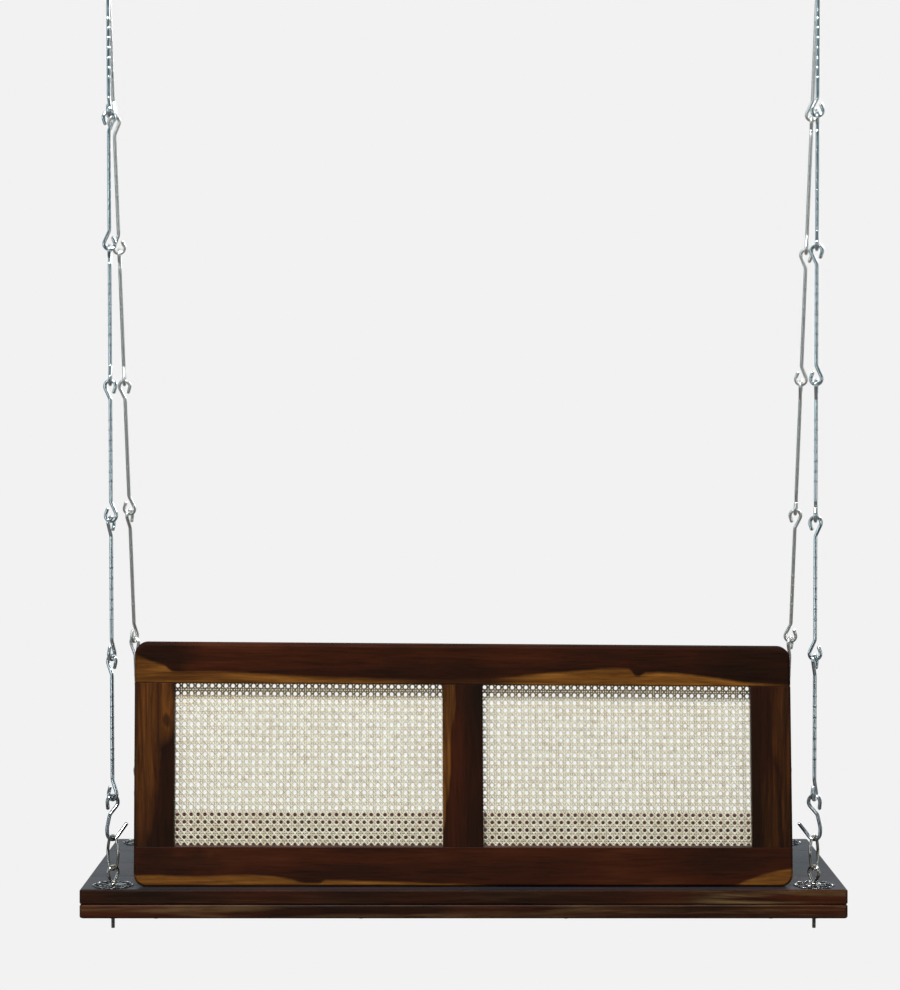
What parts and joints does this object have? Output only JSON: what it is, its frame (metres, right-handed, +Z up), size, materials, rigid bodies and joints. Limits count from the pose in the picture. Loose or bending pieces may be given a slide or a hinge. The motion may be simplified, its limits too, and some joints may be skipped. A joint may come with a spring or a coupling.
{
  "type": "jhoola swing",
  "caption": "Indoor hanging swing: dark wooden bench seat with a framed cane backrest on steel chains of hooked rods",
  "frame": {"origin": "on the ceiling plane, midway between the two ceiling brackets", "axes": "+X along the seat to the right seen from behind, +Y where the sitter looks, +Z up"},
  "size_m": [1.244, 0.46, 1.6256],
  "materials": {
    "seat_top_wood": "gloss",
    "seat_frame_wood": "satin",
    "back_wood": "satin",
    "cane": "matte",
    "cushion_cloth": "matte",
    "chain_steel": "polished",
    "flower_steel": "polished",
    "fastener_steel": "satin",
    "bracket_steel": "satin"
  },
  "bodies": {
    "ceiling": {"ceiling_bracket_left": "bracket_steel", "ceiling_bracket_right": "bracket_steel", "pivot_pin_left": "bracket_steel", "pivot_pin_right": "bracket_steel"},
    "hanger_left": {"hanger_left": "chain_steel"},
    "hanger_right": {"hanger_right": "chain_steel"},
    "seat": {"seat_board_1": "seat_top_wood", "seat_board_2": "seat_top_wood", "seat_board_3": "seat_top_wood", "seat_board_4": "seat_top_wood", "seat_rail_back": "seat_frame_wood", "seat_rail_front": "seat_frame_wood", "seat_rail_left": "seat_frame_wood", "seat_rail_right": "seat_frame_wood", "seat_battens": "seat_frame_wood", "back_top_rail": "back_wood", "back_bottom_rail": "back_wood", "back_stile_left": "back_wood", "back_mullion": "back_wood", "back_stile_right": "back_wood", "cane_panel_left": "cane", "cane_panel_right": "cane", "cane_beads": "back_wood", "back_screws": "fastener_steel", "seat_cushion": "cushion_cloth", "eye_bolts": "chain_steel", "rosette_washers": "flower_steel", "bolt_nuts_and_washers": "fastener_steel"},
    "near_left_top_rod": {"near_left_rod_6": "chain_steel"},
    "near_left_rod_5": {"near_left_rod_5": "chain_steel"},
    "near_left_rod_4": {"near_left_rod_4": "chain_steel"},
    "near_left_rod_3": {"near_left_rod_3": "chain_steel"},
    "near_left_rod_2": {"near_left_rod_2": "chain_steel"},
    "near_left_rod_1": {"near_left_rod_1": "chain_steel"},
    "near_left_s_hook": {"near_left_s_hook": "chain_steel"},
    "near_left_oval_ring": {"near_left_oval_ring": "chain_steel"},
    "far_left_top_rod": {"far_left_rod_6": "chain_steel"},
    "far_left_rod_5": {"far_left_rod_5": "chain_steel"},
    "far_left_rod_4": {"far_left_rod_4": "chain_steel"},
    "far_left_rod_3": {"far_left_rod_3": "chain_steel"},
    "far_left_rod_2": {"far_left_rod_2": "chain_steel"},
    "far_left_rod_1": {"far_left_rod_1": "chain_steel"},
    "far_left_s_hook": {"far_left_s_hook": "chain_steel"},
    "far_left_oval_ring": {"far_left_oval_ring": "chain_steel"},
    "near_right_top_rod": {"near_right_rod_6": "chain_steel"},
    "near_right_rod_5": {"near_right_rod_5": "chain_steel"},
    "near_right_rod_4": {"near_right_rod_4": "chain_steel"},
    "near_right_rod_3": {"near_right_rod_3": "chain_steel"},
    "near_right_rod_2": {"near_right_rod_2": "chain_steel"},
    "near_right_rod_1": {"near_right_rod_1": "chain_steel"},
    "near_right_s_hook": {"near_right_s_hook": "chain_steel"},
    "near_right_oval_ring": {"near_right_oval_ring": "chain_steel"},
    "far_right_top_rod": {"far_right_rod_6": "chain_steel"},
    "far_right_rod_5": {"far_right_rod_5": "chain_steel"},
    "far_right_rod_4": {"far_right_rod_4": "chain_steel"},
    "far_right_rod_3": {"far_right_rod_3": "chain_steel"},
    "far_right_rod_2": {"far_right_rod_2": "chain_steel"},
    "far_right_rod_1": {"far_right_rod_1": "chain_steel"},
    "far_right_s_hook": {"far_right_s_hook": "chain_steel"},
    "far_right_oval_ring": {"far_right_oval_ring": "chain_steel"}
  },
  "joints": [
    {"name": "swing", "type": "hinge", "parent": "ceiling", "child": "hanger_left", "pos_m": [-0.592, 0, -0.036], "axis": [1, 0, 0], "range_deg": [-32, 32]},
    {"name": "swing_right", "type": "hinge", "parent": "ceiling", "child": "hanger_right", "pos_m": [0.592, 0, -0.036], "axis": [1, 0, 0], "range_deg": [-32, 32]},
    {"name": "sway", "type": "hinge", "parent": "hanger_left", "child": "near_left_top_rod", "pos_m": [-0.592, 0, -0.08555], "axis": [0, 1, 0], "range_deg": [-4.5, 4.5]},
    {"name": "sway_far_left", "type": "hinge", "parent": "hanger_left", "child": "far_left_top_rod", "pos_m": [-0.592, 0, -0.08555], "axis": [0, 1, 0], "range_deg": [-4.5, 4.5]},
    {"name": "seat_level", "type": "hinge", "parent": "near_left_top_rod", "child": "seat", "pos_m": [-0.561, -0.1737, -1.52955], "axis": [0, 1, 0], "range_deg": [-4.79, 4.79]},
    {"name": "sway_near_right", "type": "hinge", "parent": "seat", "child": "near_right_top_rod", "pos_m": [0.561, -0.1737, -1.52955], "axis": [0, 1, 0], "range_deg": [-4.79, 4.79]},
    {"name": "sway_far_right", "type": "hinge", "parent": "seat", "child": "far_right_top_rod", "pos_m": [0.561, 0.2123, -1.52955], "axis": [0, 1, 0], "range_deg": [-4.79, 4.79]},
    {"name": "near_left_rod_5_turn", "type": "hinge", "parent": "near_left_top_rod", "child": "near_left_rod_5", "pos_m": [-0.58245, -0.05625, -0.53014], "axis": [-0.0213, 0.1167, 0.9929], "range_deg": [-10, 10]},
    {"name": "near_left_rod_4_turn", "type": "hinge", "parent": "near_left_top_rod", "child": "near_left_rod_4", "pos_m": [-0.57768, -0.08237, -0.75244], "axis": [-0.0213, 0.1167, 0.9929], "range_deg": [-10, 10]},
    {"name": "near_left_rod_3_turn", "type": "hinge", "parent": "near_left_top_rod", "child": "near_left_rod_3", "pos_m": [-0.57291, -0.1085, -0.97474], "axis": [-0.0213, 0.1167, 0.9929], "range_deg": [-10, 10]},
    {"name": "near_left_rod_2_turn", "type": "hinge", "parent": "near_left_top_rod", "child": "near_left_rod_2", "pos_m": [-0.56814, -0.13462, -1.19704], "axis": [-0.0213, 0.1167, 0.9929], "range_deg": [-10, 10]},
    {"name": "near_left_rod_1_turn", "type": "hinge", "parent": "near_left_top_rod", "child": "near_left_rod_1", "pos_m": [-0.56337, -0.16075, -1.41933], "axis": [-0.0213, 0.1167, 0.9929], "range_deg": [-10, 10]},
    {"name": "near_left_hook_turn", "type": "hinge", "parent": "near_left_top_rod", "child": "near_left_s_hook", "pos_m": [-0.56202, -0.1681, -1.48189], "axis": [-0.0213, 0.1167, 0.9929], "range_deg": [-10, 10]},
    {"name": "near_left_ring_turn", "type": "hinge", "parent": "near_left_top_rod", "child": "near_left_oval_ring", "pos_m": [-0.561, -0.1737, -1.52955], "axis": [-0.0213, 0.1167, 0.9929], "range_deg": [-10, 10]},
    {"name": "far_left_rod_5_turn", "type": "hinge", "parent": "far_left_top_rod", "child": "far_left_rod_5", "pos_m": [-0.58245, 0.06815, -0.53027], "axis": [-0.0212, -0.1427, 0.9895], "range_deg": [-10, 10]},
    {"name": "far_left_rod_4_turn", "type": "hinge", "parent": "far_left_top_rod", "child": "far_left_rod_4", "pos_m": [-0.57768, 0.10023, -0.75263], "axis": [-0.0212, -0.1427, 0.9895], "range_deg": [-10, 10]},
    {"name": "far_left_rod_3_turn", "type": "hinge", "parent": "far_left_top_rod", "child": "far_left_rod_3", "pos_m": [-0.5729, 0.1323, -0.97499], "axis": [-0.0212, -0.1427, 0.9895], "range_deg": [-10, 10]},
    {"name": "far_left_rod_2_turn", "type": "hinge", "parent": "far_left_top_rod", "child": "far_left_rod_2", "pos_m": [-0.56813, 0.16438, -1.19735], "axis": [-0.0212, -0.1427, 0.9895], "range_deg": [-10, 10]},
    {"name": "far_left_rod_1_turn", "type": "hinge", "parent": "far_left_top_rod", "child": "far_left_rod_1", "pos_m": [-0.56336, 0.19646, -1.41971], "axis": [-0.0212, -0.1427, 0.9895], "range_deg": [-10, 10]},
    {"name": "far_left_hook_turn", "type": "hinge", "parent": "far_left_top_rod", "child": "far_left_s_hook", "pos_m": [-0.56202, 0.20545, -1.48205], "axis": [-0.0212, -0.1427, 0.9895], "range_deg": [-10, 10]},
    {"name": "far_left_ring_turn", "type": "hinge", "parent": "far_left_top_rod", "child": "far_left_oval_ring", "pos_m": [-0.561, 0.2123, -1.52955], "axis": [-0.0212, -0.1427, 0.9895], "range_deg": [-10, 10]},
    {"name": "near_right_rod_5_turn", "type": "hinge", "parent": "near_right_top_rod", "child": "near_right_rod_5", "pos_m": [0.58245, -0.05625, -0.53014], "axis": [0.0213, 0.1167, 0.9929], "range_deg": [-10, 10]},
    {"name": "near_right_rod_4_turn", "type": "hinge", "parent": "near_right_top_rod", "child": "near_right_rod_4", "pos_m": [0.57768, -0.08237, -0.75244], "axis": [0.0213, 0.1167, 0.9929], "range_deg": [-10, 10]},
    {"name": "near_right_rod_3_turn", "type": "hinge", "parent": "near_right_top_rod", "child": "near_right_rod_3", "pos_m": [0.57291, -0.1085, -0.97474], "axis": [0.0213, 0.1167, 0.9929], "range_deg": [-10, 10]},
    {"name": "near_right_rod_2_turn", "type": "hinge", "parent": "near_right_top_rod", "child": "near_right_rod_2", "pos_m": [0.56814, -0.13462, -1.19704], "axis": [0.0213, 0.1167, 0.9929], "range_deg": [-10, 10]},
    {"name": "near_right_rod_1_turn", "type": "hinge", "parent": "near_right_top_rod", "child": "near_right_rod_1", "pos_m": [0.56337, -0.16075, -1.41933], "axis": [0.0213, 0.1167, 0.9929], "range_deg": [-10, 10]},
    {"name": "near_right_hook_turn", "type": "hinge", "parent": "near_right_top_rod", "child": "near_right_s_hook", "pos_m": [0.56202, -0.1681, -1.48189], "axis": [0.0213, 0.1167, 0.9929], "range_deg": [-10, 10]},
    {"name": "near_right_ring_turn", "type": "hinge", "parent": "near_right_top_rod", "child": "near_right_oval_ring", "pos_m": [0.561, -0.1737, -1.52955], "axis": [0.0213, 0.1167, 0.9929], "range_deg": [-10, 10]},
    {"name": "far_right_rod_5_turn", "type": "hinge", "parent": "far_right_top_rod", "child": "far_right_rod_5", "pos_m": [0.58245, 0.06815, -0.53027], "axis": [0.0212, -0.1427, 0.9895], "range_deg": [-10, 10]},
    {"name": "far_right_rod_4_turn", "type": "hinge", "parent": "far_right_top_rod", "child": "far_right_rod_4", "pos_m": [0.57768, 0.10023, -0.75263], "axis": [0.0212, -0.1427, 0.9895], "range_deg": [-10, 10]},
    {"name": "far_right_rod_3_turn", "type": "hinge", "parent": "far_right_top_rod", "child": "far_right_rod_3", "pos_m": [0.5729, 0.1323, -0.97499], "axis": [0.0212, -0.1427, 0.9895], "range_deg": [-10, 10]},
    {"name": "far_right_rod_2_turn", "type": "hinge", "parent": "far_right_top_rod", "child": "far_right_rod_2", "pos_m": [0.56813, 0.16438, -1.19735], "axis": [0.0212, -0.1427, 0.9895], "range_deg": [-10, 10]},
    {"name": "far_right_rod_1_turn", "type": "hinge", "parent": "far_right_top_rod", "child": "far_right_rod_1", "pos_m": [0.56336, 0.19646, -1.41971], "axis": [0.0212, -0.1427, 0.9895], "range_deg": [-10, 10]},
    {"name": "far_right_hook_turn", "type": "hinge", "parent": "far_right_top_rod", "child": "far_right_s_hook", "pos_m": [0.56202, 0.20545, -1.48205], "axis": [0.0212, -0.1427, 0.9895], "range_deg": [-10, 10]},
    {"name": "far_right_ring_turn", "type": "hinge", "parent": "far_right_top_rod", "child": "far_right_oval_ring", "pos_m": [0.561, 0.2123, -1.52955], "axis": [0.0212, -0.1427, 0.9895], "range_deg": [-10, 10]}
  ],
  "couplings": [
    {"joint": "swing_right", "follows": "swing", "ratio": 1},
    {"joint": "sway_far_left", "follows": "sway", "ratio": 1},
    {"joint": "seat_level", "follows": "sway", "ratio": -1.0553},
    {"joint": "sway_near_right", "follows": "sway", "ratio": 1.0553},
    {"joint": "sway_far_right", "follows": "sway", "ratio": 1.0553},
    {"joint": "near_left_ring_turn", "follows": "near_left_hook_turn", "ratio": 1},
    {"joint": "far_left_ring_turn", "follows": "far_left_hook_turn", "ratio": 1},
    {"joint": "near_right_ring_turn", "follows": "near_right_hook_turn", "ratio": 1},
    {"joint": "far_right_ring_turn", "follows": "far_right_hook_turn", "ratio": 1}
  ]
}
